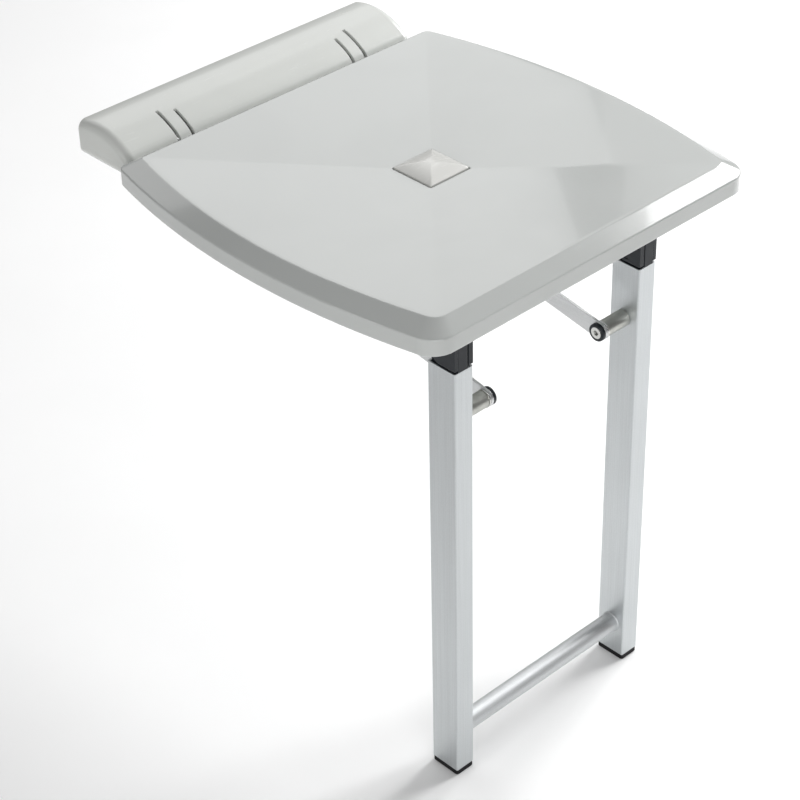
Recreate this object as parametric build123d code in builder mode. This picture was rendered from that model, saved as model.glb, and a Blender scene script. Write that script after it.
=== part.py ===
from build123d import *
import os

# Wall-mounted folding shower seat with a folding leg frame.
# Millimetres. X is the width, +Y points into the wall, +Z is up.
# The origin is the centre of the four wall fixings, on the wall face.
# Left parts are on -X and right parts on +X, as seen by someone who faces the wall.

FLOOR_Z = -467.0

# Seat plate
SEAT_HALF_WIDTH = 200.0
SEAT_END_HALF_WIDTH = 176.0
SEAT_FRONT_Y = -442.5
SEAT_BACK_Y = -71.0
SEAT_MIDDLE_Y = (SEAT_FRONT_Y + SEAT_BACK_Y) / 2
SEAT_BOTTOM_Z = 15.5
SEAT_EDGE_TOP_Z = 30.5
SEAT_RIM_Z = 39.5
SEAT_CENTRE_Z = 32.0
SEAT_CORNER_R = 22.0
SEAT_BACK_CORNER_R = 8.0
SEAT_WALL = 4.0
SEAT_SHOULDER = 3.0
BEVEL_WIDTH = 14.0
BEVEL_CORNER_R = 12.0
BEVEL_BACK_CORNER_R = 4.0
DISH_LIP = 3.0
DISH_CORNER_R = 9.0
DISH_BACK_CORNER_R = 3.0
RIM_EDGE_R = 2.0
CREASE_EDGE_R = 1.8
LOWER_EDGE_R = 1.5

# Stiffening under the seat plate
RIB_BOTTOM_Z = 22.0
RIB_THICKNESS = 2.6
RAIL_SCREW_X = 95.5
RAIL_SCREW_Y = (-350.0, SEAT_MIDDLE_Y, -163.0)
BOSS_R = 6.0
BOSS_HOLE_DEPTH = 8.0
NOTCH_TOP_Z = 27.5
NOTCH_WIDTH = 23.0

# Drain well in the middle of the seat and the square cap that sits in it
WELL_SIDE = 46.0
WELL_FLOOR_Z = 20.0
WELL_WALL = 3.0
DRAIN_R = 3.5
DRAIN_SPACING = 28.0
CAP_SIDE = 43.4
CAP_EDGE_Z = 33.0
CAP_TOP_Z = 38.0
CAP_SKIRT = 6.0
CAP_RISE = CAP_TOP_Z - CAP_EDGE_Z
CAP_VAULT_R = ((CAP_SIDE / 2) ** 2 + CAP_RISE**2) / (2 * CAP_RISE)
CAP_STUD_R = 5.0
CAP_STUD_END = 1.0
CAP_COLLAR = 3.0
CAP_CORNER_R = 1.5
CAP_RIDGE_R = 3.0
CAP_FOOT_SIDE = 4.0
CAP_FOOT_SPACING = 34.0

# Pivot points, all on axes parallel to X
HINGE_Y = -38.0
HINGE_Z = 24.0
LEG_Y = -385.0
LEG_PIVOT_Z = -37.0
LINK_DROP = 61.0
LINK_WALL_Z = HINGE_Z - LINK_DROP
LINK_LEG_Z = LEG_PIVOT_Z - LINK_DROP

# Fits
RUNNING_FIT = 0.08
SIDE_GAP = 0.4

# Legs
LEG_INNER_X = 96.5
LEG_OUTER_X = 116.5
LEG_WIDTH = LEG_OUTER_X - LEG_INNER_X
LEG_X = (LEG_INNER_X + LEG_OUTER_X) / 2
LEG_DEPTH = 30.0
LEG_FRONT_Y = LEG_Y - LEG_DEPTH / 2
LEG_BACK_Y = LEG_Y + LEG_DEPTH / 2
LEG_EDGE_R = 1.4
TUBE_WALL = 1.5
FOOT_HEIGHT = 5.5
FOOT_EDGE_R = 1.0
FOOT_PLUG = 18.0
TUBE_BOTTOM_Z = FLOOR_Z + FOOT_HEIGHT
TUBE_TOP_Z = -46.0
BORE_WIDTH = LEG_WIDTH - 2 * TUBE_WALL
BORE_DEPTH = LEG_DEPTH - 2 * TUBE_WALL
PLUG_LENGTH = 28.0
RUNG_Z = FLOOR_Z + 37.7
RUNG_R = 9.0
RUNG_WALL = 1.5

# Clevis between the seat and each leg
CLEVIS_TOP_Z = LEG_PIVOT_Z + 17.0
EAR_BOTTOM_Z = LEG_PIVOT_Z - 6.5
EAR_BACK_Y = LEG_Y + 8.5
TONGUE_INNER_X = 102.6
TONGUE_OUTER_X = 112.6
TONGUE_R = 15.0
CLEVIS_INNER_X = TONGUE_INNER_X - 1.4
CLEVIS_OUTER_X = TONGUE_OUTER_X + SIDE_GAP
LEG_PIN_R = 4.0
LEG_PIN_OUTER_X = 115.0
BRACKET_SCREW_Y = (-377.0, -390.0)
BRACKET_SCREW_Z = 9.0
BRACKET_SCREW_R = 2.5
BRACKET_HEAD_R = 4.6
BRACKET_HEAD = 2.6
BRACKET_SOCKET_R = 1.8
BRACKET_SOCKET_DEPTH = 1.6
HEAD_SEAT_X = LEG_OUTER_X - BRACKET_HEAD
SHANK_END_X = LEG_INNER_X + 1.0
LEG_PIN_INNER_X = LEG_INNER_X + 0.6
EAR_CORNER_R = 6.0
TONGUE_CORNER_R = 3.0

# Hinge arm, one with the support rail under the seat
ARM_INNER_X = 105.25
ARM_OUTER_X = 107.75
ARM_TOP_Z = HINGE_Z + 1.5
ARM_BEND_Y = -72.0
HUB_R = 11.0
RAIL_SHEET = 3.0
RAIL_TOP_Z = RIB_BOTTOM_Z
RAIL_DEPTH = 20.0
RAIL_FLANGE_X = 86.0
RAIL_BACK_Y = -88.0
RAIL_TAPER_Y = -104.0
RAIL_FRONT_Y = LEG_Y - 11.0
RAIL_SCREW_R = 2.0
RAIL_HEAD_R = 4.0
RAIL_HEAD = 2.2
RAIL_HEAD_CROWN = 0.8
RAIL_CROSS = 5.0
RAIL_CROSS_WIDTH = 1.0
RAIL_SCREW_END = 0.5

# Hinge bush
BUSH_INNER_X = 101.3
BUSH_OUTER_X = 111.7
BUSH_R = 7.0
BUSH_FLANGE_R = 9.5

# Wall bracket
PLATE_THICK = 4.0
PLATE_HALF_WIDTH = 150.0
PLATE_BOTTOM_Z = 12.0
PLATE_TOP_Z = 38.0
PLATE_CORNER_R = 6.0
TAB_INNER_X = 66.0
TAB_OUTER_X = 115.0
TAB_BOTTOM_Z = -48.0
TAB_CORNER_R = 12.0
LIP_DEPTH = 40.0
LIP_WIDTH = 24.0
LIP_THICK = 3.0
BRACKET_INNER_X = 98.0
BRACKET_OUTER_X = 115.0
BRACKET_SHEET = 3.0
FIXING_X = 80.0
FIXING_Z = 30.0
FIXING_R = 3.5

# Cover of the wall bracket
COVER_HALF_WIDTH = 162.0
COVER_WALL = 3.0
COVER_BOTTOM_Z = 9.0
COVER_TOP_Z = 44.5
COVER_DEPTH = 67.0
COVER_END_R = 8.0
CROWN_R = 70.0
CROWN_Y = -20.0
CROWN_Z = COVER_TOP_Z - CROWN_R
NOSE_R = 16.0
NOSE_Y = NOSE_R - COVER_DEPTH
NOSE_Z = CROWN_Z + ((CROWN_R - NOSE_R) ** 2 - (CROWN_Y - NOSE_Y) ** 2) ** 0.5
SLOT_WIDTH = 3.3
ARM_SLOT_END_Y = -35.5
LINK_SLOT_END_Y = -41.0
COVER_SCREW_X = 40.0
COVER_SCREW_Y = -34.0
COVER_SCREW_R = 1.6
COVER_HEAD_R = 3.8
COVER_HEAD = 2.2
COVER_HEAD_EDGE_R = 1.0
COVER_SOCKET_R = 1.6
COVER_SOCKET_DEPTH = 1.4
COVER_SCREW_LENGTH = 9.2
COVER_HOLE_R = 2.1
WINDOW_X = 101.5
WINDOW_WIDTH = 31.0
WINDOW_DEPTH = 55.0
TAB_SLOT_MARGIN = 1.5
TAB_SLOT_DEPTH = 5.0

# Wall pins
HINGE_PIN_R = 5.0
HINGE_PIN_END_X = 95.6
HINGE_RING_X = 96.6
HINGE_RING_R = 7.5
LINK_PIN_R = 4.0
LINK_PIN_END_X = 87.6
LINK_RING_X = 88.6
LINK_COLLAR_R = 6.5
PIN_HEAD = 2.0

# Leg link: flat bar beside the leg, joggled outward near the wall
LINK_THICK = 2.5
LINK_HALF_WIDTH = 8.0
LINK_WALL_X = 90.5
LINK_LEG_X = 66.0
JOGGLE_START_Y = -150.0
JOGGLE_END_Y = -185.0
LINK_END_MARGIN = 12.0
LINK_RUN = HINGE_Y - LEG_Y
LINK_EYE_R = 4.5

# Stack that carries the link on the leg
SPIGOT_R = 4.0
STANDOFF_X = 70.3
STANDOFF_R = 7.5
STANDOFF_CHAMFER = 0.6
WASHER_X = LINK_LEG_X + LINK_THICK + SIDE_GAP
WASHER_R = 8.0
CAP_BACK_X = LINK_LEG_X - SIDE_GAP
CAP_FACE_X = 62.2
CAP_R = 8.0
CAP_RECESS = 2.4
CAP_EDGE_R = 1.2
SCREW_HEAD_R = 5.2
SCREW_CORE_R = 3.0
SCREW_REACH = 6.0
SOCKET_R = 2.6

SIDES = (("left", -1), ("right", 1))

os.makedirs("parts", exist_ok=True)


def save(part, label):
    part.label = label
    export_step(part, "parts/" + label + ".step")


def x_start(side, inner, outer):
    # Lower X of a slab that lies between two distances from the middle plane
    return inner if side > 0 else -outer


def seat_outline(inset, front_corner_r, back_corner_r):
    # Barrel-shaped outline: straight front and back edges, bowed sides
    end_x = SEAT_END_HALF_WIDTH - inset
    side_x = SEAT_HALF_WIDTH - inset
    front = SEAT_FRONT_Y + inset
    back = SEAT_BACK_Y - inset
    with BuildSketch(Plane.XY) as outline:
        with BuildLine():
            Line((-end_x, front), (end_x, front))
            ThreePointArc((end_x, front), (side_x, SEAT_MIDDLE_Y), (end_x, back))
            Line((end_x, back), (-end_x, back))
            ThreePointArc((-end_x, back), (-side_x, SEAT_MIDDLE_Y), (-end_x, front))
        make_face()
        fillet(outline.vertices().group_by(Axis.Y)[0], radius=front_corner_r)
        fillet(outline.vertices().group_by(Axis.Y)[-1], radius=back_corner_r)
    return outline.sketch


def rounded_square(side_length, corner_r):
    # Square on the drain's centre
    with BuildSketch(Plane.XY) as square:
        with Locations((0, SEAT_MIDDLE_Y)):
            RectangleRounded(side_length, side_length, corner_r)
    return square.sketch


def disc(side, inner, outer, centre, radius, hole_r=0.0):
    # Round slab across X, between two distances from the middle plane
    with BuildPart(mode=Mode.PRIVATE) as slab:
        with BuildSketch(Plane.YZ.offset(x_start(side, inner, outer))):
            with Locations(centre):
                Circle(radius)
                if hole_r > 0:
                    Circle(hole_r, mode=Mode.SUBTRACT)
        extrude(amount=outer - inner)
    return slab.part


def cover_profile(inset):
    # Side view of the cover: a low crown that runs into a tighter nose, flat bottom, open to the wall
    crown_r = CROWN_R - inset
    crown_share = crown_r / (CROWN_R - NOSE_R)
    back_z = CROWN_Z + (crown_r**2 - CROWN_Y**2) ** 0.5
    front = inset - COVER_DEPTH
    bottom = COVER_BOTTOM_Z + inset
    crown_end = (CROWN_Y + (NOSE_Y - CROWN_Y) * crown_share, CROWN_Z + (NOSE_Z - CROWN_Z) * crown_share)
    with BuildSketch(Plane.XY) as profile:
        with BuildLine():
            Line((0, bottom), (0, back_z))
            RadiusArc((0, back_z), crown_end, -crown_r)
            RadiusArc(crown_end, (front, NOSE_Z), inset - NOSE_R)
            Line((front, NOSE_Z), (front, bottom))
            Line((front, bottom), (0, bottom))
        make_face()
    return profile.sketch


def rail_screw_places(side):
    return [(side * RAIL_SCREW_X, y) for y in RAIL_SCREW_Y]


def bracket_screw_places():
    return [(y, BRACKET_SCREW_Z) for y in BRACKET_SCREW_Y]


# ---------------------------------------------------------------- seat shell

inner_corner_rs = (SEAT_CORNER_R - SEAT_WALL, SEAT_BACK_CORNER_R - SEAT_WALL)
ceiling_corner_rs = (BEVEL_CORNER_R / 2, BEVEL_BACK_CORNER_R / 2)
ceiling_inset = BEVEL_WIDTH + SEAT_WALL

# Hollow under the seat plate
with BuildPart() as cavity:
    with BuildSketch(Plane.XY.offset(SEAT_BOTTOM_Z)):
        add(seat_outline(SEAT_WALL, *inner_corner_rs))
    extrude(amount=SEAT_EDGE_TOP_Z - SEAT_SHOULDER - SEAT_BOTTOM_Z)
    with BuildSketch(Plane.XY.offset(SEAT_EDGE_TOP_Z - SEAT_SHOULDER)):
        add(seat_outline(SEAT_WALL, *inner_corner_rs))
    with BuildSketch(Plane.XY.offset(SEAT_RIM_Z - SEAT_WALL)):
        add(seat_outline(ceiling_inset, *ceiling_corner_rs))
    loft(ruled=True)
    with BuildSketch(Plane.XY.offset(SEAT_RIM_Z - SEAT_WALL)):
        add(seat_outline(ceiling_inset, *ceiling_corner_rs))
    with BuildSketch(Plane.XY.offset(SEAT_CENTRE_Z - SEAT_WALL)):
        add(rounded_square(WELL_SIDE + 2 * WELL_WALL, WELL_WALL))
    loft(ruled=True, mode=Mode.SUBTRACT)

with BuildPart() as ribs:
    with BuildSketch(Plane.XY.offset(RIB_BOTTOM_Z)):
        for side_name, side in SIDES:
            with Locations((side * RAIL_SCREW_X, SEAT_MIDDLE_Y)):
                Rectangle(RIB_THICKNESS, SEAT_BACK_Y - SEAT_FRONT_Y)
            with Locations(*rail_screw_places(side)):
                Circle(BOSS_R)
        for rib_y in RAIL_SCREW_Y:
            with Locations((0, rib_y)):
                Rectangle(2 * SEAT_HALF_WIDTH, RIB_THICKNESS)
    extrude(amount=SEAT_RIM_Z - RIB_BOTTOM_Z)
    add(cavity.part, mode=Mode.INTERSECT)

with BuildPart() as seat_shell:
    with BuildSketch(Plane.XY.offset(SEAT_BOTTOM_Z)):
        add(seat_outline(0, SEAT_CORNER_R, SEAT_BACK_CORNER_R))
    extrude(amount=SEAT_EDGE_TOP_Z - SEAT_BOTTOM_Z)
    with BuildSketch(Plane.XY.offset(SEAT_EDGE_TOP_Z)):
        add(seat_outline(0, SEAT_CORNER_R, SEAT_BACK_CORNER_R))
    with BuildSketch(Plane.XY.offset(SEAT_RIM_Z)):
        add(seat_outline(BEVEL_WIDTH, BEVEL_CORNER_R, BEVEL_BACK_CORNER_R))
    loft(ruled=True)
    fillet(seat_shell.edges().group_by(Axis.Z)[-1], radius=RIM_EDGE_R)
    crease_edges = seat_shell.edges().filter_by(lambda e: abs(e.center().Z - SEAT_EDGE_TOP_Z) < 0.01)
    fillet(crease_edges, radius=CREASE_EDGE_R)
    # Shallow four-sided dish that drains to the middle
    with BuildSketch(Plane.XY.offset(SEAT_RIM_Z)):
        add(seat_outline(BEVEL_WIDTH + DISH_LIP, DISH_CORNER_R, DISH_BACK_CORNER_R))
    with BuildSketch(Plane.XY.offset(SEAT_CENTRE_Z)):
        add(rounded_square(WELL_SIDE, 1.0))
    loft(ruled=True, mode=Mode.SUBTRACT)
    fillet(seat_shell.edges().group_by(Axis.Z)[0], radius=LOWER_EDGE_R)
    add(cavity.part, mode=Mode.SUBTRACT)
    add(ribs.part)
    # Drain well with its holes
    with BuildSketch(Plane.XY.offset(WELL_FLOOR_Z - WELL_WALL)):
        add(rounded_square(WELL_SIDE + 2 * WELL_WALL, WELL_WALL))
    extrude(amount=SEAT_CENTRE_Z - WELL_FLOOR_Z)
    with BuildSketch(Plane.XY.offset(WELL_FLOOR_Z)):
        add(rounded_square(WELL_SIDE, 1.0))
    extrude(amount=SEAT_RIM_Z - WELL_FLOOR_Z, mode=Mode.SUBTRACT)
    with BuildSketch(Plane.XY.offset(WELL_FLOOR_Z - WELL_WALL)):
        with Locations((0, SEAT_MIDDLE_Y)):
            Circle(CAP_STUD_R)
            with GridLocations(DRAIN_SPACING, DRAIN_SPACING, 2, 2):
                Circle(DRAIN_R)
    extrude(amount=WELL_WALL, mode=Mode.SUBTRACT)
    # Notches in the back edge for the hinge arms and the links
    with BuildSketch(Plane.XY.offset(SEAT_BOTTOM_Z)):
        for side_name, side in SIDES:
            with Locations((side * (LINK_WALL_X + ARM_OUTER_X) / 2, SEAT_BACK_Y - SEAT_WALL / 2)):
                Rectangle(NOTCH_WIDTH, 2 * SEAT_WALL)
    extrude(amount=NOTCH_TOP_Z - SEAT_BOTTOM_Z, mode=Mode.SUBTRACT)
    # Screw holes in the rail bosses
    with BuildSketch(Plane.XY.offset(RIB_BOTTOM_Z)):
        for side_name, side in SIDES:
            with Locations(*rail_screw_places(side)):
                Circle(RAIL_SCREW_R)
    extrude(amount=BOSS_HOLE_DEPTH, mode=Mode.SUBTRACT)
save(seat_shell.part, "seat_shell")

# ---------------------------------------------------------------- centre cap

with BuildPart() as centre_cap:
    with BuildSketch(Plane.XY.offset(CAP_EDGE_Z - CAP_SKIRT)):
        add(rounded_square(CAP_SIDE, CAP_CORNER_R))
    extrude(amount=CAP_RISE + CAP_SKIRT)
    # Two crossed barrel vaults give four bowed facets that meet in the middle
    for vault_plane, vault_middle in ((Plane.YZ, SEAT_MIDDLE_Y), (Plane.XZ, 0)):
        with BuildSketch(vault_plane):
            with Locations((vault_middle, CAP_TOP_Z - CAP_VAULT_R)):
                Circle(CAP_VAULT_R)
        extrude(amount=2 * SEAT_HALF_WIDTH, both=True, mode=Mode.INTERSECT)
    fillet(centre_cap.edges().filter_by(GeomType.ELLIPSE), radius=CAP_RIDGE_R)
    # Four feet stand on the floor of the well, a stud clips through it
    with BuildSketch(Plane.XY.offset(WELL_FLOOR_Z)):
        with Locations((0, SEAT_MIDDLE_Y)):
            Circle(CAP_STUD_R + CAP_COLLAR)
            with GridLocations(CAP_FOOT_SPACING, CAP_FOOT_SPACING, 2, 2):
                Rectangle(CAP_FOOT_SIDE, CAP_FOOT_SIDE)
    extrude(amount=CAP_EDGE_Z - CAP_SKIRT - WELL_FLOOR_Z)
    with BuildSketch(Plane.XY.offset(WELL_FLOOR_Z - WELL_WALL - CAP_STUD_END)):
        with Locations((0, SEAT_MIDDLE_Y)):
            Circle(CAP_STUD_R)
    extrude(amount=WELL_WALL + CAP_STUD_END)
save(centre_cap.part, "centre_cap")

# ---------------------------------------------------------------- wall bracket

with BuildPart() as wall_plate:
    with BuildSketch(Plane.XZ) as plate_face:
        with Locations((0, (PLATE_BOTTOM_Z + PLATE_TOP_Z) / 2)):
            Rectangle(2 * PLATE_HALF_WIDTH, PLATE_TOP_Z - PLATE_BOTTOM_Z)
        for side_name, side in SIDES:
            tab_height = PLATE_BOTTOM_Z - TAB_BOTTOM_Z + PLATE_THICK
            with Locations((side * (TAB_INNER_X + TAB_OUTER_X) / 2, TAB_BOTTOM_Z + tab_height / 2)):
                Rectangle(TAB_OUTER_X - TAB_INNER_X, tab_height)
        fillet(plate_face.vertices().group_by(Axis.Y)[0], radius=TAB_CORNER_R)
        fillet(plate_face.vertices().group_by(Axis.Y)[-1], radius=PLATE_CORNER_R)
        with GridLocations(2 * FIXING_X, 2 * FIXING_Z, 2, 2):
            Circle(FIXING_R, mode=Mode.SUBTRACT)
    extrude(amount=PLATE_THICK)
    # Lips that take the cover screws
    with BuildSketch(Plane.XY.offset(COVER_BOTTOM_Z + COVER_WALL)):
        with GridLocations(2 * COVER_SCREW_X, 0, 2, 1):
            with Locations((0, -PLATE_THICK - LIP_DEPTH / 2)):
                Rectangle(LIP_WIDTH, LIP_DEPTH)
            with Locations((0, COVER_SCREW_Y)):
                Circle(COVER_SCREW_R, mode=Mode.SUBTRACT)
    extrude(amount=LIP_THICK)
save(wall_plate.part, "wall_plate")

for side_name, side in SIDES:
    inner_ear = x_start(side, BRACKET_INNER_X, BRACKET_INNER_X + BRACKET_SHEET)
    outer_ear = x_start(side, BRACKET_OUTER_X - BRACKET_SHEET, BRACKET_OUTER_X)
    middle_z = (HINGE_Z + LINK_WALL_Z) / 2
    with BuildPart() as hinge_bracket:
        for ear_x in (inner_ear, outer_ear):
            with BuildSketch(Plane.YZ.offset(ear_x)):
                with Locations((HINGE_Y, HINGE_Z), (HINGE_Y, LINK_WALL_Z)):
                    Circle(HUB_R)
                with Locations(((HINGE_Y - HUB_R - PLATE_THICK) / 2, middle_z)):
                    Rectangle(-HINGE_Y + HUB_R - PLATE_THICK, LINK_DROP)
                with Locations(((HINGE_Y - PLATE_THICK) / 2, middle_z)):
                    Rectangle(-HINGE_Y - PLATE_THICK, LINK_DROP + 2 * HUB_R)
                with Locations((HINGE_Y, HINGE_Z)):
                    Circle(HINGE_PIN_R, mode=Mode.SUBTRACT)
                with Locations((HINGE_Y, LINK_WALL_Z)):
                    Circle(LINK_PIN_R, mode=Mode.SUBTRACT)
            extrude(amount=BRACKET_SHEET)
        web_inner = BRACKET_INNER_X + BRACKET_SHEET
        web_outer = BRACKET_OUTER_X - BRACKET_SHEET
        with BuildSketch(Plane.YZ.offset(x_start(side, web_inner, web_outer))):
            with Locations((-PLATE_THICK - BRACKET_SHEET / 2, middle_z)):
                Rectangle(BRACKET_SHEET, LINK_DROP + 2 * HUB_R)
        extrude(amount=web_outer - web_inner)
    save(hinge_bracket.part, "hinge_bracket_" + side_name)

# ---------------------------------------------------------------- wall cover

# Hollow of the cover, open toward the wall
with BuildPart() as cover_core:
    with BuildSketch(Plane.YZ.offset(-COVER_HALF_WIDTH + COVER_WALL)):
        add(cover_profile(COVER_WALL))
    extrude(amount=2 * (COVER_HALF_WIDTH - COVER_WALL))
    core_ends = cover_core.faces().filter_by(Axis.X).edges()
    core_mouth = cover_core.faces().sort_by(Axis.Y)[-1].edges()
    fillet([e for e in core_ends if e not in core_mouth], radius=COVER_END_R - COVER_WALL)

with BuildPart() as wall_cover:
    with BuildSketch(Plane.YZ.offset(-COVER_HALF_WIDTH)):
        add(cover_profile(0))
    extrude(amount=2 * COVER_HALF_WIDTH)
    end_edges = wall_cover.faces().filter_by(Axis.X).edges()
    wall_edges = wall_cover.faces().sort_by(Axis.Y)[-1].edges()
    fillet([e for e in end_edges if e not in wall_edges], radius=COVER_END_R)
    add(cover_core.part, mode=Mode.SUBTRACT)
    for side_name, side in SIDES:
        # Window in the floor for the hinge bracket, the link and the tab of the wall plate
        with BuildSketch(Plane.XY.offset(COVER_BOTTOM_Z)):
            with Locations((side * WINDOW_X, -WINDOW_DEPTH / 2)):
                Rectangle(WINDOW_WIDTH, WINDOW_DEPTH)
            with Locations((side * (TAB_INNER_X + TAB_OUTER_X) / 2, -TAB_SLOT_DEPTH / 2)):
                Rectangle(TAB_OUTER_X - TAB_INNER_X + 2 * TAB_SLOT_MARGIN, TAB_SLOT_DEPTH)
        extrude(amount=COVER_WALL, mode=Mode.SUBTRACT)
        # Slots swept by the hinge arm and by the link
        arm_slot = ((ARM_INNER_X + ARM_OUTER_X) / 2, ARM_SLOT_END_Y)
        link_slot = (LINK_WALL_X + LINK_THICK / 2, LINK_SLOT_END_Y)
        for slot_x, slot_end in (arm_slot, link_slot):
            start = x_start(side, slot_x - SLOT_WIDTH / 2, slot_x + SLOT_WIDTH / 2)
            with BuildSketch(Plane.YZ.offset(start)):
                with Locations(((slot_end - COVER_DEPTH) / 2, (COVER_BOTTOM_Z + COVER_TOP_Z) / 2)):
                    Rectangle(COVER_DEPTH + slot_end, COVER_TOP_Z - COVER_BOTTOM_Z)
            extrude(amount=SLOT_WIDTH, mode=Mode.SUBTRACT)
    # Holes for the cover screws
    with BuildSketch(Plane.XY.offset(COVER_BOTTOM_Z)):
        with Locations((-COVER_SCREW_X, COVER_SCREW_Y), (COVER_SCREW_X, COVER_SCREW_Y)):
            Circle(COVER_HOLE_R)
    extrude(amount=COVER_WALL, mode=Mode.SUBTRACT)
save(wall_cover.part, "wall_cover")

with BuildPart() as cover_screws:
    with BuildSketch(Plane.XY.offset(COVER_BOTTOM_Z - COVER_HEAD)):
        with Locations((-COVER_SCREW_X, COVER_SCREW_Y), (COVER_SCREW_X, COVER_SCREW_Y)):
            Circle(COVER_HEAD_R)
            RegularPolygon(COVER_SOCKET_R, 6, mode=Mode.SUBTRACT)
    extrude(amount=COVER_HEAD)
    with BuildSketch(Plane.XY.offset(COVER_BOTTOM_Z - COVER_HEAD + COVER_SOCKET_DEPTH)):
        with Locations((-COVER_SCREW_X, COVER_SCREW_Y), (COVER_SCREW_X, COVER_SCREW_Y)):
            Circle(COVER_SCREW_R)
    extrude(amount=COVER_HEAD - COVER_SOCKET_DEPTH + COVER_SCREW_LENGTH)
    head_edges = cover_screws.faces().sort_by(Axis.Z)[0:2].edges().filter_by(GeomType.CIRCLE)
    fillet(head_edges, radius=COVER_HEAD_EDGE_R)
save(cover_screws.part, "cover_screws")

# ---------------------------------------------------------------- wall pins

hinge_centre = (HINGE_Y, HINGE_Z)
link_centre = (HINGE_Y, LINK_WALL_Z)

for side_name, side in SIDES:
    with BuildPart() as hinge_pin:
        add(disc(side, HINGE_PIN_END_X, BRACKET_OUTER_X, hinge_centre, HINGE_PIN_R))
        add(disc(side, BRACKET_OUTER_X, BRACKET_OUTER_X + PIN_HEAD, hinge_centre, BUSH_R))
    save(hinge_pin.part, "hinge_pin_" + side_name)

    with BuildPart() as hinge_ring:
        add(disc(side, HINGE_RING_X, BRACKET_INNER_X, hinge_centre, HINGE_RING_R, HINGE_PIN_R))
    save(hinge_ring.part, "hinge_ring_" + side_name)

    with BuildPart() as link_pin:
        collar_x = LINK_WALL_X + LINK_THICK + SIDE_GAP
        add(disc(side, LINK_PIN_END_X, BRACKET_OUTER_X, link_centre, LINK_PIN_R))
        add(disc(side, BRACKET_OUTER_X, BRACKET_OUTER_X + PIN_HEAD, link_centre, LINK_COLLAR_R))
        add(disc(side, collar_x, BRACKET_INNER_X, link_centre, LINK_COLLAR_R))
    save(link_pin.part, "link_pin_" + side_name)

    with BuildPart() as link_ring:
        ring_outer = LINK_WALL_X - SIDE_GAP
        add(disc(side, LINK_RING_X, ring_outer, link_centre, LINK_COLLAR_R, LINK_PIN_R))
    save(link_ring.part, "link_ring_" + side_name)

# ---------------------------------------------------------------- support rails

for side_name, side in SIDES:
    arm_x = x_start(side, ARM_INNER_X, ARM_OUTER_X)
    with BuildPart() as support_rail:
        with BuildSketch(Plane.YZ.offset(arm_x)):
            with BuildLine():
                Polyline(
                    (HINGE_Y, ARM_TOP_Z),
                    (RAIL_BACK_Y, ARM_TOP_Z),
                    (RAIL_BACK_Y, RAIL_TOP_Z),
                    (RAIL_FRONT_Y, RAIL_TOP_Z),
                    (RAIL_FRONT_Y, RAIL_TOP_Z - RAIL_DEPTH),
                    (RAIL_TAPER_Y, RAIL_TOP_Z - RAIL_DEPTH),
                    (ARM_BEND_Y, HINGE_Z - HUB_R),
                    (HINGE_Y, HINGE_Z - HUB_R),
                    close=True,
                )
            make_face()
            with Locations(hinge_centre):
                Circle(HUB_R)
                Circle(BUSH_R, mode=Mode.SUBTRACT)
            with Locations(*bracket_screw_places()):
                Circle(BRACKET_SCREW_R, mode=Mode.SUBTRACT)
        extrude(amount=ARM_OUTER_X - ARM_INNER_X)
        # Top flange that is screwed to the seat
        with BuildSketch(Plane.XY.offset(RAIL_TOP_Z - RAIL_SHEET)):
            with Locations((side * (RAIL_FLANGE_X + ARM_INNER_X) / 2, (RAIL_BACK_Y + RAIL_FRONT_Y) / 2)):
                Rectangle(ARM_INNER_X - RAIL_FLANGE_X, RAIL_BACK_Y - RAIL_FRONT_Y)
            with Locations(*rail_screw_places(side)):
                Circle(RAIL_SCREW_R, mode=Mode.SUBTRACT)
        extrude(amount=RAIL_SHEET)
    save(support_rail.part, "support_rail_" + side_name)

    with BuildPart() as rail_screws:
        with BuildSketch(Plane.XY.offset(RAIL_TOP_Z - RAIL_SHEET)):
            with Locations(*rail_screw_places(side)):
                Circle(RAIL_SCREW_R)
        extrude(amount=RAIL_SHEET + BOSS_HOLE_DEPTH - RAIL_SCREW_END)
        # Cross-slotted lower part of each head, then its solid upper part
        with BuildSketch(Plane.XY.offset(RAIL_TOP_Z - RAIL_SHEET - RAIL_HEAD)):
            with Locations(*rail_screw_places(side)):
                Circle(RAIL_HEAD_R)
                Rectangle(RAIL_CROSS, RAIL_CROSS_WIDTH, mode=Mode.SUBTRACT)
                Rectangle(RAIL_CROSS_WIDTH, RAIL_CROSS, mode=Mode.SUBTRACT)
        extrude(amount=RAIL_HEAD - RAIL_HEAD_CROWN)
        with BuildSketch(Plane.XY.offset(RAIL_TOP_Z - RAIL_SHEET - RAIL_HEAD_CROWN)):
            with Locations(*rail_screw_places(side)):
                Circle(RAIL_HEAD_R)
        extrude(amount=RAIL_HEAD_CROWN)
    save(rail_screws.part, "rail_screws_" + side_name)

    with BuildPart() as hinge_bush:
        bore_r = HINGE_PIN_R + RUNNING_FIT
        add(disc(side, BUSH_INNER_X, BUSH_OUTER_X, hinge_centre, BUSH_R, bore_r))
        add(disc(side, BUSH_INNER_X, ARM_INNER_X, hinge_centre, BUSH_FLANGE_R, BUSH_R))
        add(disc(side, ARM_OUTER_X, BUSH_OUTER_X, hinge_centre, BUSH_FLANGE_R, BUSH_R))
    save(hinge_bush.part, "hinge_bush_" + side_name)

# ---------------------------------------------------------------- leg brackets

leg_pivot = (LEG_Y, LEG_PIVOT_Z)

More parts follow.
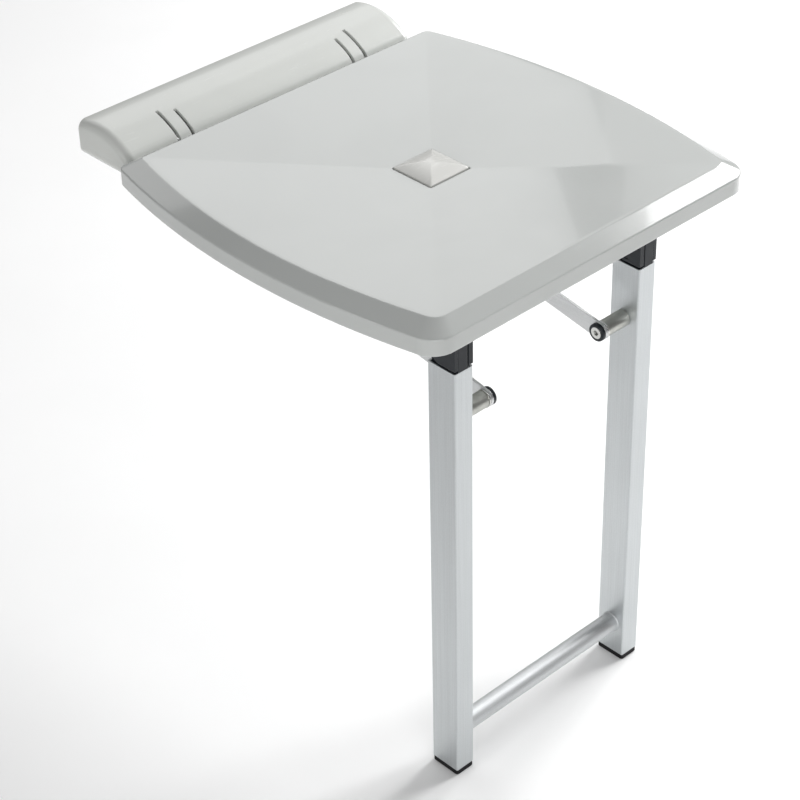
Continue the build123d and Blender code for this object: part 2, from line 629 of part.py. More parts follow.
for side_name, side in SIDES:
    leg_side_x = x_start(side, LEG_INNER_X, LEG_OUTER_X)
    with BuildPart() as leg_bracket:
        with BuildSketch(Plane.YZ.offset(leg_side_x)) as bracket_side:
            with BuildLine():
                Polyline(
                    (LEG_FRONT_Y, EAR_BOTTOM_Z),
                    (EAR_BACK_Y, EAR_BOTTOM_Z),
                    (EAR_BACK_Y, CLEVIS_TOP_Z),
                    (LEG_BACK_Y, CLEVIS_TOP_Z),
                    (LEG_BACK_Y, RAIL_TOP_Z - RAIL_SHEET),
                    (LEG_FRONT_Y, RAIL_TOP_Z - RAIL_SHEET),
                    close=True,
                )
            make_face()
            ear_corner = bracket_side.vertices().sort_by_distance((0, EAR_BACK_Y, EAR_BOTTOM_Z))[0]
            fillet(ear_corner, radius=EAR_CORNER_R)
        extrude(amount=LEG_WIDTH)
        # Clevis gap for the leg tongue
        with BuildSketch(Plane.YZ.offset(x_start(side, CLEVIS_INNER_X, CLEVIS_OUTER_X))):
            with Locations((LEG_Y, (EAR_BOTTOM_Z + CLEVIS_TOP_Z) / 2)):
                Rectangle(LEG_DEPTH + 2, CLEVIS_TOP_Z - EAR_BOTTOM_Z)
        extrude(amount=CLEVIS_OUTER_X - CLEVIS_INNER_X, mode=Mode.SUBTRACT)
        # Slot that holds the rail
        with BuildSketch(Plane.YZ.offset(x_start(side, ARM_INNER_X, ARM_OUTER_X))):
            with Locations(((RAIL_FRONT_Y + LEG_BACK_Y) / 2, RAIL_TOP_Z - RAIL_DEPTH / 2)):
                Rectangle(LEG_BACK_Y - RAIL_FRONT_Y, RAIL_DEPTH)
        extrude(amount=ARM_OUTER_X - ARM_INNER_X, mode=Mode.SUBTRACT)
        with BuildSketch(Plane.YZ.offset(leg_side_x)):
            with Locations(*bracket_screw_places()):
                Circle(BRACKET_SCREW_R)
        extrude(amount=LEG_WIDTH, mode=Mode.SUBTRACT)
        with BuildSketch(Plane.YZ.offset(x_start(side, HEAD_SEAT_X, LEG_OUTER_X))):
            with Locations(*bracket_screw_places()):
                Circle(BRACKET_HEAD_R)
        extrude(amount=BRACKET_HEAD, mode=Mode.SUBTRACT)
        pin_bore = disc(side, LEG_INNER_X, LEG_PIN_OUTER_X, leg_pivot, LEG_PIN_R)
        add(pin_bore, mode=Mode.SUBTRACT)
    save(leg_bracket.part, "leg_bracket_" + side_name)

    # Screws that cross the leg bracket and the rail, with their heads sunk in the outer side
    with BuildPart() as bracket_screws:
        with BuildSketch(Plane.YZ.offset(x_start(side, SHANK_END_X, HEAD_SEAT_X))):
            with Locations(*bracket_screw_places()):
                Circle(BRACKET_SCREW_R)
        extrude(amount=HEAD_SEAT_X - SHANK_END_X)
        with BuildSketch(Plane.YZ.offset(x_start(side, HEAD_SEAT_X, LEG_OUTER_X))):
            with Locations(*bracket_screw_places()):
                Circle(BRACKET_HEAD_R)
        extrude(amount=BRACKET_HEAD)
        socket_x = x_start(side, LEG_OUTER_X - BRACKET_SOCKET_DEPTH, LEG_OUTER_X)
        with BuildSketch(Plane.YZ.offset(socket_x)):
            with Locations(*bracket_screw_places()):
                RegularPolygon(BRACKET_SOCKET_R, 6)
        extrude(amount=BRACKET_SOCKET_DEPTH, mode=Mode.SUBTRACT)
    save(bracket_screws.part, "bracket_screws_" + side_name)

    with BuildPart() as leg_pin:
        add(disc(side, LEG_PIN_INNER_X, LEG_PIN_OUTER_X, leg_pivot, LEG_PIN_R))
    save(leg_pin.part, "leg_pin_" + side_name)

# ---------------------------------------------------------------- legs

link_foot = (LEG_Y, LINK_LEG_Z)

for side_name, side in SIDES:
    with BuildPart() as leg_tube:
        with BuildSketch(Plane.XY.offset(TUBE_BOTTOM_Z)):
            with Locations((side * LEG_X, LEG_Y)):
                RectangleRounded(LEG_WIDTH, LEG_DEPTH, LEG_EDGE_R)
                Rectangle(BORE_WIDTH, BORE_DEPTH, mode=Mode.SUBTRACT)
        extrude(amount=TUBE_TOP_Z - TUBE_BOTTOM_Z)
        # Hole for the screw that holds the standoff
        screw_hole = disc(side, LEG_INNER_X, LEG_INNER_X + TUBE_WALL, link_foot, SCREW_CORE_R)
        add(screw_hole, mode=Mode.SUBTRACT)
    save(leg_tube.part, "leg_tube_" + side_name)

    with BuildPart() as leg_plug:
        with BuildSketch(Plane.XY.offset(TUBE_TOP_Z - PLUG_LENGTH)):
            with Locations((side * LEG_X, LEG_Y)):
                Rectangle(BORE_WIDTH, BORE_DEPTH)
        extrude(amount=PLUG_LENGTH)
        # Tongue with a round back, so that it can turn inside the clevis
        tongue_top = LEG_PIVOT_Z + TONGUE_R
        with BuildSketch(Plane.YZ.offset(x_start(side, TONGUE_INNER_X, TONGUE_OUTER_X))) as tongue_side:
            with BuildLine():
                Line((LEG_FRONT_Y, TUBE_TOP_Z), (LEG_BACK_Y, TUBE_TOP_Z))
                Line((LEG_BACK_Y, TUBE_TOP_Z), (LEG_BACK_Y, LEG_PIVOT_Z))
                RadiusArc((LEG_BACK_Y, LEG_PIVOT_Z), (LEG_Y, tongue_top), -TONGUE_R)
                Line((LEG_Y, tongue_top), (LEG_FRONT_Y, tongue_top))
                Line((LEG_FRONT_Y, tongue_top), (LEG_FRONT_Y, TUBE_TOP_Z))
            make_face()
            front_corner = tongue_side.vertices().sort_by_distance((0, LEG_FRONT_Y, tongue_top))[0]
            fillet(front_corner, radius=TONGUE_CORNER_R)
        extrude(amount=TONGUE_OUTER_X - TONGUE_INNER_X)
        tongue_bore = disc(side, TONGUE_INNER_X, TONGUE_OUTER_X, leg_pivot, LEG_PIN_R + RUNNING_FIT)
        add(tongue_bore, mode=Mode.SUBTRACT)
    save(leg_plug.part, "leg_plug_" + side_name)

    with BuildPart() as foot:
        with BuildSketch(Plane.XY.offset(FLOOR_Z)):
            with Locations((side * LEG_X, LEG_Y)):
                RectangleRounded(LEG_WIDTH, LEG_DEPTH, 2 * LEG_EDGE_R)
        extrude(amount=FOOT_HEIGHT)
        fillet(foot.faces().sort_by(Axis.Z)[0].edges(), radius=FOOT_EDGE_R)
        with BuildSketch(Plane.XY.offset(TUBE_BOTTOM_Z)):
            with Locations((side * LEG_X, LEG_Y)):
                Rectangle(BORE_WIDTH, BORE_DEPTH)
        extrude(amount=FOOT_PLUG)
    save(foot.part, "foot_" + side_name)

with BuildPart() as cross_rung:
    with BuildSketch(Plane.YZ.offset(-LEG_INNER_X)):
        with Locations((LEG_Y, RUNG_Z)):
            Circle(RUNG_R)
            Circle(RUNG_R - RUNG_WALL, mode=Mode.SUBTRACT)
    extrude(amount=2 * LEG_INNER_X)
save(cross_rung.part, "cross_rung")

# ---------------------------------------------------------------- leg end of the links

for side_name, side in SIDES:
    with BuildPart() as standoff:
        add(disc(side, STANDOFF_X, LEG_INNER_X, link_foot, STANDOFF_R, SPIGOT_R))
        rim_edges = standoff.edges().filter_by(GeomType.CIRCLE).group_by(SortBy.RADIUS)[-1]
        chamfer(rim_edges, length=STANDOFF_CHAMFER)
    save(standoff.part, "standoff_" + side_name)

    with BuildPart() as link_washer:
        add(disc(side, WASHER_X, STANDOFF_X, link_foot, WASHER_R, SPIGOT_R))
    save(link_washer.part, "link_washer_" + side_name)

    with BuildPart() as link_cap:
        add(disc(side, CAP_FACE_X, CAP_BACK_X, link_foot, CAP_R, SPIGOT_R))
        recess = disc(side, CAP_FACE_X, CAP_FACE_X + CAP_RECESS, link_foot, SCREW_HEAD_R + SIDE_GAP)
        add(recess, mode=Mode.SUBTRACT)
        face_edges = link_cap.edges().sort_by(Axis.X, reverse=side < 0)[0:2]
        fillet(face_edges.sort_by(SortBy.RADIUS)[-1], radius=CAP_EDGE_R)
    save(link_cap.part, "link_cap_" + side_name)

    with BuildPart() as link_screw:
        head_back = CAP_FACE_X + CAP_RECESS
        add(disc(side, CAP_FACE_X, head_back, link_foot, SCREW_HEAD_R))
        add(disc(side, head_back, LEG_INNER_X, link_foot, SPIGOT_R))
        add(disc(side, LEG_INNER_X, LEG_INNER_X + SCREW_REACH, link_foot, SCREW_CORE_R))
        with BuildSketch(Plane.YZ.offset(x_start(side, CAP_FACE_X, CAP_FACE_X + SOCKET_R))):
            with Locations(link_foot):
                RegularPolygon(SOCKET_R, 6)
        extrude(amount=SOCKET_R, mode=Mode.SUBTRACT)
    save(link_screw.part, "link_screw_" + side_name)

# ---------------------------------------------------------------- link bars

link_length = (LINK_DROP**2 + LINK_RUN**2) ** 0.5
link_middle = ((HINGE_Y + LEG_Y) / 2, (LINK_WALL_Z + LINK_LEG_Z) / 2)
link_angle = Vector(LINK_RUN, LINK_DROP, 0).get_signed_angle(Vector(1, 0, 0), Vector(0, 0, -1))

for side_name, side in SIDES:
    link_zone = x_start(side, LINK_LEG_X, LINK_WALL_X + LINK_THICK)
    link_zone_width = LINK_WALL_X + LINK_THICK - LINK_LEG_X
    with BuildPart() as link_bar:
        # Plan view of the flat bar with its joggle, through the full height
        with BuildSketch(Plane.XY.offset(LINK_LEG_Z - LINK_END_MARGIN)):
            with BuildLine():
                Polyline(
                    (side * LINK_WALL_X, HINGE_Y + LINK_END_MARGIN),
                    (side * LINK_WALL_X, JOGGLE_START_Y),
                    (side * LINK_LEG_X, JOGGLE_END_Y),
                    (side * LINK_LEG_X, LEG_Y - LINK_END_MARGIN),
                    (side * (LINK_LEG_X + LINK_THICK), LEG_Y - LINK_END_MARGIN),
                    (side * (LINK_LEG_X + LINK_THICK), JOGGLE_END_Y),
                    (side * (LINK_WALL_X + LINK_THICK), JOGGLE_START_Y),
                    (side * (LINK_WALL_X + LINK_THICK), HINGE_Y + LINK_END_MARGIN),
                    close=True,
                )
            make_face()
        extrude(amount=LINK_DROP + 2 * LINK_END_MARGIN)
        # Side view: a bar with round ends between its two eyes
        with BuildSketch(Plane.YZ.offset(link_zone)):
            with Locations(link_middle):
                SlotCenterToCenter(link_length, 2 * LINK_HALF_WIDTH, rotation=link_angle)
        extrude(amount=link_zone_width, mode=Mode.INTERSECT)
        with BuildSketch(Plane.YZ.offset(link_zone)):
            with Locations(link_centre):
                Circle(LINK_PIN_R + RUNNING_FIT)
            with Locations(link_foot):
                Circle(LINK_EYE_R)
        extrude(amount=link_zone_width, mode=Mode.SUBTRACT)
    save(link_bar.part, "link_bar_" + side_name)
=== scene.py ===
import math
import random

import bpy
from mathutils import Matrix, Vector


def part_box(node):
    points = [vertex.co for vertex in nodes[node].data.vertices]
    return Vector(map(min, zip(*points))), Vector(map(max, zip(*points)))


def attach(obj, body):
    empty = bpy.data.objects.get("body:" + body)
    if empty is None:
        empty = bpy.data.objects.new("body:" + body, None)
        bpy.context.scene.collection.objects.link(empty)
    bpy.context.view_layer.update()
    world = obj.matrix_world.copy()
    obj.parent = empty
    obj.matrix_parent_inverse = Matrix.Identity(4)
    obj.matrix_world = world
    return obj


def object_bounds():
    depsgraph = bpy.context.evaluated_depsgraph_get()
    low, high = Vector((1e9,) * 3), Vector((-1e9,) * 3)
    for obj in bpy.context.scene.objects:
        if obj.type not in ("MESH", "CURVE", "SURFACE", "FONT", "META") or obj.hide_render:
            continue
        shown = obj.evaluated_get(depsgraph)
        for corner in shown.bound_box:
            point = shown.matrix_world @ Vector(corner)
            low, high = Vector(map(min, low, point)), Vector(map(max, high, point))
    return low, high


# Folding shower seat: materials on the CAD nodes, two weld beads, floor, light and camera.
# Metres in the frame of the part: +X along the wall, +Y into the wall, +Z up.

# Smooth shading and edges
SHARP_ANGLE = 32.0
EDGE_LOW_DOT = 0.80
EDGE_HIGH_DOT = 0.995
RECESS_OPEN = 0.75
RECESS_CLOSED = 0.35
BEVEL_SAMPLES = 6
RECESS_SAMPLES = 8

# Grain of the drawn metals, in lines per metre across and along it
GRAIN_ACROSS = 900.0
GRAIN_ALONG = 7.0
LEG_GRAIN = (GRAIN_ACROSS, GRAIN_ACROSS, GRAIN_ALONG)
RUNG_GRAIN = (GRAIN_ALONG, GRAIN_ACROSS, GRAIN_ACROSS)
LINK_GRAIN = (1100.0, 14.0, GRAIN_ACROSS)

# Weld bead between rung and leg
WELD_STEPS = 96
WELD_ROWS = 7
WELD_LEG = 0.0011
WELD_SINK = 0.0002
WELD_RIPPLES = 14.0
WELD_RIPPLE_DEPTH = 0.10
WELD_JITTER = 0.05
WELD_BELLY = 0.8

# Studio
FLOOR_SIZE = 14.0
FLOOR_COLOR = (0.93, 0.93, 0.93)
FLOOR_ROUGH = 0.6
WORLD_STRENGTH = 0.14
LIGHT_AIM = Vector((0.0, -0.25, 0.0))

# Camera
LENS = 105.384
SENSOR_WIDTH = 36.0
SHIFT_X = -0.01126
SHIFT_Y = -0.02043
CAMERA_PLACE = (-1.15507, -1.45115, 0.96892)
CAMERA_TURN = (0.96574, 0.016514, -0.76707)

# Sockets of the colour mix node
MIX_A = 6
MIX_B = 7
MIX_RESULT = 2

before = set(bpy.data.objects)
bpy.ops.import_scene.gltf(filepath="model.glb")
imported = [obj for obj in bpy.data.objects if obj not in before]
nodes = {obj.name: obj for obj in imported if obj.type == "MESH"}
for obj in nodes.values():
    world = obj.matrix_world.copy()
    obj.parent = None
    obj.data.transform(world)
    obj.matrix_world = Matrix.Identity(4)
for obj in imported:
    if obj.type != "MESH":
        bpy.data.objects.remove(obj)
cad_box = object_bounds()
scene = bpy.context.scene

# ------------------------------------------------------------------ smooth shading


def smooth(obj):
    """Smooth every face and mark the edges that turn by more than the limit as sharp."""
    mesh = obj.data
    for face in mesh.polygons:
        face.use_smooth = True
    limit = math.cos(math.radians(SHARP_ANGLE))
    by_edge = {}
    for face in mesh.polygons:
        for key in face.edge_keys:
            by_edge.setdefault(key, []).append(face.normal.copy())
    for edge in mesh.edges:
        sides = by_edge.get(tuple(sorted(edge.vertices)), [])
        edge.use_edge_sharp = len(sides) != 2 or sides[0].dot(sides[1]) < limit


# ------------------------------------------------------------------ material kit


class Kit:
    """A material with a Principled shader and a few helpers for procedural detail."""

    def __init__(self, name, base, rough, metal=0.0, **sockets):
        self.mat = bpy.data.materials.new(name)
        self.mat.use_nodes = True
        self.tree = self.mat.node_tree
        self.bsdf = self.tree.nodes["Principled BSDF"]
        self.bsdf.inputs["Base Color"].default_value = (*base, 1.0)
        self.bsdf.inputs["Roughness"].default_value = rough
        self.bsdf.inputs["Metallic"].default_value = metal
        for key, value in sockets.items():
            self.bsdf.inputs[key.replace("_", " ")].default_value = value
        self.height = None
        coord = self.node("ShaderNodeTexCoord")
        self.coord = coord.outputs["Object"]

    def node(self, kind, **settings):
        made = self.tree.nodes.new(kind)
        for key, value in settings.items():
            setattr(made, key, value)
        return made

    def link(self, a, b):
        self.tree.links.new(a, b)

    def stretch(self, scale):
        mapping = self.node("ShaderNodeMapping")
        mapping.inputs["Scale"].default_value = scale
        self.link(self.coord, mapping.inputs["Vector"])
        return mapping.outputs["Vector"]

    def noise(self, scale, vector=None, detail=3.0, rough=0.55, distortion=0.0):
        made = self.node("ShaderNodeTexNoise")
        made.inputs["Scale"].default_value = scale
        made.inputs["Detail"].default_value = detail
        made.inputs["Roughness"].default_value = rough
        made.inputs["Distortion"].default_value = distortion
        self.link(vector or self.coord, made.inputs["Vector"])
        return made.outputs["Fac"]

    def range(self, value, low, high, out_low=0.0, out_high=1.0):
        made = self.node("ShaderNodeMapRange")
        made.inputs["From Min"].default_value = low
        made.inputs["From Max"].default_value = high
        made.inputs["To Min"].default_value = out_low
        made.inputs["To Max"].default_value = out_high
        self.link(value, made.inputs["Value"])
        return made.outputs["Result"]

    def math(self, kind, a, b):
        made = self.node("ShaderNodeMath", operation=kind)
        for socket, value in zip(made.inputs, (a, b)):
            if isinstance(value, (int, float)):
                socket.default_value = value
            else:
                self.link(value, socket)
        return made.outputs["Value"]

    def mix(self, fac, a, b):
        made = self.node("ShaderNodeMix", data_type="RGBA")
        self.link(fac, made.inputs["Factor"])
        for socket, value in ((made.inputs[MIX_A], a), (made.inputs[MIX_B], b)):
            if isinstance(value, tuple):
                socket.default_value = (*value, 1.0)
            else:
                self.link(value, socket)
        return made.outputs[MIX_RESULT]

    def color(self, socket):
        self.link(socket, self.bsdf.inputs["Base Color"])

    def roughness(self, socket):
        self.link(socket, self.bsdf.inputs["Roughness"])

    def bump(self, height, strength, distance, radius=0.0):
        made = self.node("ShaderNodeBump")
        made.inputs["Strength"].default_value = strength
        made.inputs["Distance"].default_value = distance
        self.link(height, made.inputs["Height"])
        if self.height is not None:
            self.link(self.height, made.inputs["Normal"])
        elif radius:
            self.link(self.bevel(radius), made.inputs["Normal"])
        self.height = made.outputs["Normal"]
        self.link(self.height, self.bsdf.inputs["Normal"])

    def bevel(self, radius):
        made = self.node("ShaderNodeBevel", samples=BEVEL_SAMPLES)
        made.inputs["Radius"].default_value = radius
        return made.outputs["Normal"]

    def painted_recess_shade(self, distance):
        """Near 1 inside sockets and narrow gaps, 0 in the open: the mask for painted shade in recesses.
        """
        made = self.node("ShaderNodeAmbientOcclusion", samples=RECESS_SAMPLES, only_local=True)
        made.inputs["Distance"].default_value = distance
        return self.range(made.outputs["AO"], RECESS_OPEN, RECESS_CLOSED)

    def edge_mask(self, radius):
        """Near 1 along outer and inner edges, 0 on open faces."""
        geometry = self.node("ShaderNodeNewGeometry")
        dot = self.node("ShaderNodeVectorMath", operation="DOT_PRODUCT")
        self.link(self.bevel(radius), dot.inputs[0])
        self.link(geometry.outputs["Normal"], dot.inputs[1])
        return self.range(dot.outputs["Value"], EDGE_HIGH_DOT, EDGE_LOW_DOT)


def moulded_plastic(name, base, rough, coat=0.4, shine=0.5):
    """Glossy moulded plastic: faint flow marks, orange peel, hairline scuffs, duller edges painted
    slightly paler as a painted highlight.
    """
    sockets = {"Coat_Weight": coat, "Coat_Roughness": 0.04, "IOR": 1.49, "Specular_IOR_Level": shine}
    kit = Kit(name, base, rough, **sockets)
    flow = kit.range(kit.noise(5.0, detail=2.0, distortion=1.2), 0.35, 0.65)
    deep = tuple(c * 0.965 for c in base)
    tone = kit.mix(flow, base, deep)
    # Edges painted slightly paler as a painted highlight.
    edge = kit.edge_mask(0.0012)
    pale = tuple(min(1.0, c * 1.04) for c in base)
    kit.color(kit.mix(kit.math("MULTIPLY", edge, 0.5), tone, pale))
    scuff = kit.noise(38.0, kit.stretch((1.0, 9.0, 1.0)), detail=9.0, rough=0.72, distortion=0.4)
    worn = kit.range(scuff, 0.56, 0.74, 0.0, 0.10)
    smear = kit.range(kit.noise(14.0, detail=4.0), 0.3, 0.7, -0.02, 0.04)
    total = kit.math("ADD", kit.math("ADD", worn, smear), rough)
    kit.roughness(kit.math("ADD", total, kit.math("MULTIPLY", edge, 0.06)))
    kit.bump(kit.noise(230.0, detail=2.0), 0.05, 0.0004, radius=0.0006)
    kit.bump(kit.noise(1700.0, detail=1.0), 0.05, 0.00006)
    return kit.mat


def drawn_metal(name, base, grain, rough, anisotropy=0.35):
    """Satin anodised or brushed metal with its grain along one axis and a painted highlight along its
    edges.
    """
    kit = Kit(name, base, rough, metal=1.0, Anisotropic=anisotropy)
    lines = kit.noise(1.0, kit.stretch(grain), detail=5.0, rough=0.65)
    fine = kit.noise(1.0, kit.stretch(tuple(g * 3.1 for g in grain)), detail=3.0)
    cloud = kit.noise(9.0, detail=3.0)
    sparkle = kit.noise(GRAIN_ACROSS, detail=2.0)
    dark = tuple(c * 0.88 for c in base)
    tone = kit.mix(kit.range(lines, 0.3, 0.7), base, dark)
    glint = tuple(min(1.0, c * 1.10) for c in base)
    tone = kit.mix(kit.range(sparkle, 0.45, 0.8, 0.0, 0.45), tone, glint)
    # Edges painted lighter as a painted highlight.
    edge = kit.edge_mask(0.0009)
    painted_edge_highlight = tuple(min(1.0, c * 1.16) for c in base)
    kit.color(kit.mix(kit.math("MULTIPLY", edge, 0.5), tone, painted_edge_highlight))
    r = kit.range(fine, 0.3, 0.7, rough - 0.05, rough + 0.05)
    r = kit.math("ADD", r, kit.range(cloud, 0.35, 0.65, -0.03, 0.04))
    kit.roughness(kit.math("SUBTRACT", r, kit.math("MULTIPLY", edge, 0.08)))
    kit.bump(lines, 0.10, 0.00012, radius=0.0005)
    kit.bump(fine, 0.06, 0.00005)
    return kit.mat


def turned_metal(name, base, rough):
    """Machined steel turned on an axis parallel to X: fine rings, a touch of tarnish, a painted
    highlight along its edges and painted shade in sockets and gaps.
    """
    kit = Kit(name, base, rough, metal=1.0, Anisotropic=0.3)
    rings = kit.noise(1.0, kit.stretch((5200.0, 18.0, 18.0)), detail=2.0)
    cloud = kit.noise(70.0, detail=4.0, rough=0.6)
    tone = kit.mix(kit.range(cloud, 0.4, 0.7), base, tuple(c * 0.80 for c in base))
    # Edges painted lighter as a painted highlight.
    edge = kit.edge_mask(0.0006)
    painted_edge_highlight = tuple(min(1.0, c * 1.25) for c in base)
    tone = kit.mix(kit.math("MULTIPLY", edge, 0.6), tone, painted_edge_highlight)
    # Sockets and narrow gaps painted near black as painted shade.
    kit.color(kit.mix(kit.painted_recess_shade(0.0025), tone, (0.03, 0.03, 0.028)))
    r = kit.range(rings, 0.3, 0.7, rough - 0.06, rough + 0.08)
    kit.roughness(kit.math("ADD", r, kit.range(cloud, 0.4, 0.7, 0.0, 0.06)))
    kit.bump(rings, 0.12, 0.00008, radius=0.0003)
    return kit.mat


def textured_plastic(name, base, rough, shine=0.3, grain=1100.0):
    """Spark-textured dark plastic or rubber, slightly polished along its edges, where the colour is
    also lightened as a painted sheen.
    """
    kit = Kit(name, base, rough, IOR=1.5, Specular_IOR_Level=shine)
    edge = kit.edge_mask(0.0009)
    dust = kit.range(kit.noise(26.0, detail=5.0, rough=0.7), 0.5, 0.8, 0.0, 0.35)
    pale = tuple(c * 1.9 + 0.006 for c in base)
    tone = kit.mix(dust, base, pale)
    # Edges painted lighter as a painted sheen; the lower roughness there is the polish.
    painted_edge_sheen = tuple(c * 2.2 + 0.01 for c in base)
    kit.color(kit.mix(kit.math("MULTIPLY", edge, 0.5), tone, painted_edge_sheen))
    patch = kit.range(kit.noise(60.0, detail=3.0), 0.3, 0.7, -0.05, 0.05)
    kit.roughness(kit.math("ADD", kit.math("SUBTRACT", patch, kit.math("MULTIPLY", edge, 0.12)), rough))
    kit.bump(kit.noise(grain, detail=2.0), 0.35, 0.00012, radius=0.0005)
    return kit.mat


def powder_coat(name, base, rough):
    """Powder-coated steel: pebbled skin with chips of darker metal on the edges."""
    kit = Kit(name, base, rough, Coat_Weight=0.15, Coat_Roughness=0.2)
    edge = kit.edge_mask(0.0010)
    chip = kit.math("MULTIPLY", edge, kit.range(kit.noise(160.0, detail=5.0), 0.52, 0.60))
    tone = kit.mix(kit.range(kit.noise(8.0), 0.35, 0.65), base, tuple(c * 0.93 for c in base))
    kit.color(kit.mix(chip, tone, (0.30, 0.30, 0.30)))
    kit.roughness(kit.range(kit.noise(300.0, detail=2.0), 0.3, 0.7, rough - 0.06, rough + 0.08))
    kit.bump(kit.noise(650.0, detail=2.0), 0.22, 0.00012, radius=0.0006)
    return kit.mat


seat_mat = moulded_plastic("seat_plastic", (0.508, 0.524, 0.513), 0.13)
cap_mat = moulded_plastic("cap_plastic", (0.66, 0.66, 0.635), 0.24)
cover_mat = moulded_plastic("cover_plastic", (0.628, 0.642, 0.618), 0.22, coat=0.12, shine=0.3)
leg_mat = drawn_metal("leg_aluminium", (0.63, 0.655, 0.665), LEG_GRAIN, 0.40)
rung_mat = drawn_metal("rung_aluminium", (0.68, 0.695, 0.705), RUNG_GRAIN, 0.56, anisotropy=0.0)
link_mat = drawn_metal("link_steel", (0.70, 0.71, 0.715), LINK_GRAIN, 0.34)
standoff_mat = turned_metal("standoff_steel", (0.56, 0.565, 0.53), 0.38)
bright_mat = turned_metal("bright_steel", (0.78, 0.78, 0.76), 0.20)
screw_mat = turned_metal("screw_steel", (0.55, 0.55, 0.54), 0.28)
dark_screw_mat = turned_metal("dark_screw_steel", (0.06, 0.062, 0.066), 0.36)
black_mat = textured_plastic("black_plastic", (0.013, 0.016, 0.020), 0.38)
bush_mat = textured_plastic("bush_plastic", (0.05, 0.05, 0.05), 0.45)
rubber_mat = textured_plastic("foot_rubber", (0.007, 0.007, 0.008), 0.58, shine=0.2, grain=800.0)
coat_mat = powder_coat("bracket_coat", (0.50, 0.51, 0.51), 0.42)

finish = {
    "seat_shell": seat_mat,
    "centre_cap": cap_mat,
    "wall_cover": cover_mat,
    "wall_plate": coat_mat,
    "cover_screws": screw_mat,
    "cross_rung": rung_mat,
    "hinge_bracket": coat_mat,
    "hinge_pin": bright_mat,
    "hinge_ring": screw_mat,
    "hinge_bush": bush_mat,
    "link_pin": bright_mat,
    "link_ring": screw_mat,
    "support_rail": coat_mat,
    "rail_screws": screw_mat,
    "leg_bracket": black_mat,
    "bracket_screws": dark_screw_mat,
    "leg_pin": dark_screw_mat,
    "leg_tube": leg_mat,
    "leg_plug": black_mat,
    "foot": rubber_mat,
    "standoff": standoff_mat,
    "link_washer": bright_mat,
    "link_cap": black_mat,
    "link_screw": bright_mat,
    "link_bar": link_mat,
}

for name, obj in nodes.items():
    base_name = name.removesuffix("_left").removesuffix("_right")
    obj.data.materials.clear()
    obj.data.materials.append(finish[base_name])
    smooth(obj)

# ------------------------------------------------------------------ pieces added to the CAD


def weld_bead(name, wall_x, inward, radius, centre_y, centre_z):
    """A small rippled fillet of weld round the rung where it meets a leg."""
    verts = []
    faces = []
    rng = random.Random(name)
    inner = radius - WELD_SINK
    for i in range(WELD_STEPS):
        turn = 2.0 * math.pi * i / WELD_STEPS
        wave = WELD_RIPPLE_DEPTH * math.sin(WELD_RIPPLES * turn)
        leg = WELD_LEG * (1.0 + wave + rng.uniform(-WELD_JITTER, WELD_JITTER))
        for j in range(WELD_ROWS):
            part = 0.5 * math.pi * j / (WELD_ROWS - 1)
            out = inner + leg * (1.0 - math.sin(part)) ** WELD_BELLY
            x = wall_x + inward * leg * (1.0 - math.cos(part)) ** WELD_BELLY
            verts.append((x, centre_y + out * math.sin(turn), centre_z + out * math.cos(turn)))
        verts.append((wall_x, centre_y + inner * math.sin(turn), centre_z + inner * math.cos(turn)))
    ring = WELD_ROWS + 1
    for i in range(WELD_STEPS):
        a = i * ring
        b = ((i + 1) % WELD_STEPS) * ring
        for j in range(ring):
            k = (j + 1) % ring
            faces.append((a + j, a + k, b + k, b + j) if inward > 0 else (a + j, b + j, b + k, a + k))
    mesh = bpy.data.meshes.new(name)
    mesh.from_pydata(verts, [], faces)
    mesh.materials.append(rung_mat)
    mesh.update()
    for face in mesh.polygons:
        face.use_smooth = True
    obj = bpy.data.objects.new(name, mesh)
    scene.collection.objects.link(obj)
    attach(obj, "leg_frame")


rung_low, rung_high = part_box("cross_rung")
rung_y = (rung_low[1] + rung_high[1]) / 2
rung_z = (rung_low[2] + rung_high[2]) / 2
rung_r = (rung_high[2] - rung_low[2]) / 2
weld_bead("rung_weld_left", rung_low[0], 1.0, rung_r, rung_y, rung_z)
weld_bead("rung_weld_right", rung_high[0], -1.0, rung_r, rung_y, rung_z)

# ------------------------------------------------------------------ floor, light, camera

floor_z = cad_box[0][2]


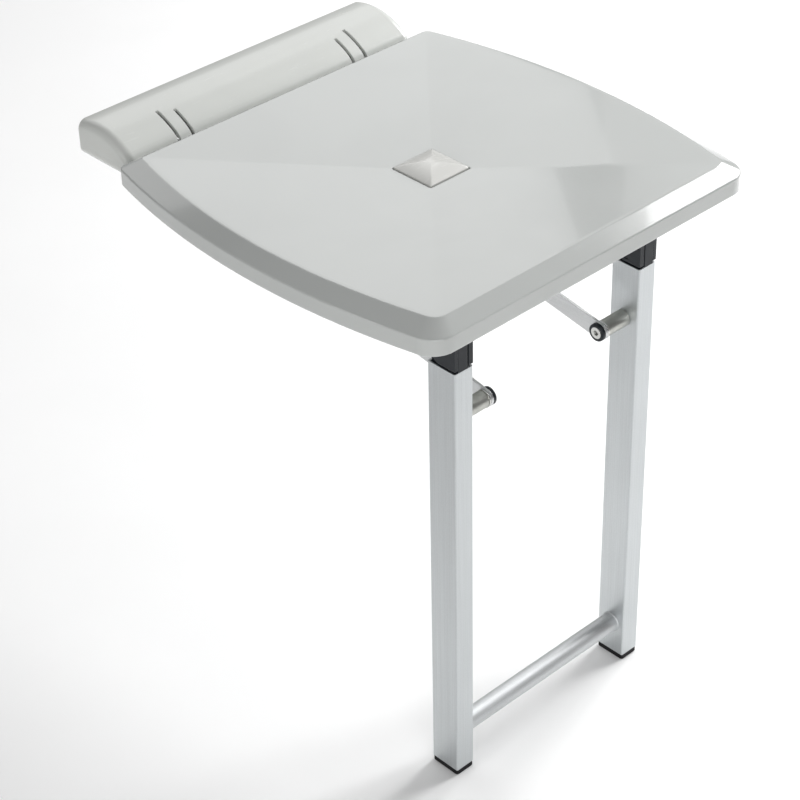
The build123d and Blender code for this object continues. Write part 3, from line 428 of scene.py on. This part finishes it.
def stage_material(name, color, rough):
    """Plain pale surface with the slightest clouding."""
    kit = Kit(name, color, rough)
    kit.color(kit.mix(kit.range(kit.noise(3.0), 0.4, 0.6), color, tuple(c * 0.985 for c in color)))
    return kit.mat


bpy.ops.mesh.primitive_plane_add(size=FLOOR_SIZE, location=(0.0, 0.0, floor_z))
floor = bpy.context.object
floor.name = "studio_floor"
floor.data.materials.append(stage_material("studio_floor", FLOOR_COLOR, FLOOR_ROUGH))

world = bpy.data.worlds.new("studio")
scene.world = world
world.use_nodes = True
background = world.node_tree.nodes["Background"]
background.inputs["Color"].default_value = (1.0, 1.0, 1.0, 1.0)
background.inputs["Strength"].default_value = WORLD_STRENGTH


def softbox(name, azimuth, elevation, distance, size, radiance):
    """A panel aimed at the seat. Azimuth 0 is the wall side and 90 is +X, both angles in degrees."""
    around = math.radians(azimuth)
    up = math.radians(elevation)
    toward = Vector((math.sin(around) * math.cos(up), math.cos(around) * math.cos(up), math.sin(up)))
    light = bpy.data.lights.new(name, "AREA")
    light.shape = "RECTANGLE"
    light.size, light.size_y = size
    light.energy = math.pi * light.size * light.size_y * radiance
    obj = bpy.data.objects.new(name, light)
    scene.collection.objects.link(obj)
    obj.location = LIGHT_AIM + toward * distance
    obj.rotation_euler = (-toward).to_track_quat("-Z", "Y").to_euler()


softbox("back_panel", 18.5, 36.0, 3.0, (2.9, 1.8), 1.45)
softbox("back_right_fill", 63.6, 34.0, 2.9, (1.2, 1.7), 0.80)
softbox("key", 95.0, 29.0, 2.5, (1.40, 1.5), 13.1)
softbox("left_fill", 270.0, 11.0, 2.6, (2.2, 0.9), 2.2)
softbox("front_fill", 215.0, 16.0, 2.6, (2.2, 1.1), 3.3)
softbox("back_left_fill", 310.0, 14.0, 2.8, (1.6, 0.9), 0.15)

camera = bpy.data.cameras.new("camera")
camera.lens = LENS
camera.sensor_width = SENSOR_WIDTH
camera.shift_x = SHIFT_X
camera.shift_y = SHIFT_Y
camera_obj = bpy.data.objects.new("camera", camera)
scene.collection.objects.link(camera_obj)
camera_obj.location = CAMERA_PLACE
camera_obj.rotation_euler = CAMERA_TURN
scene.camera = camera_obj

scene.view_settings.view_transform = "Standard"
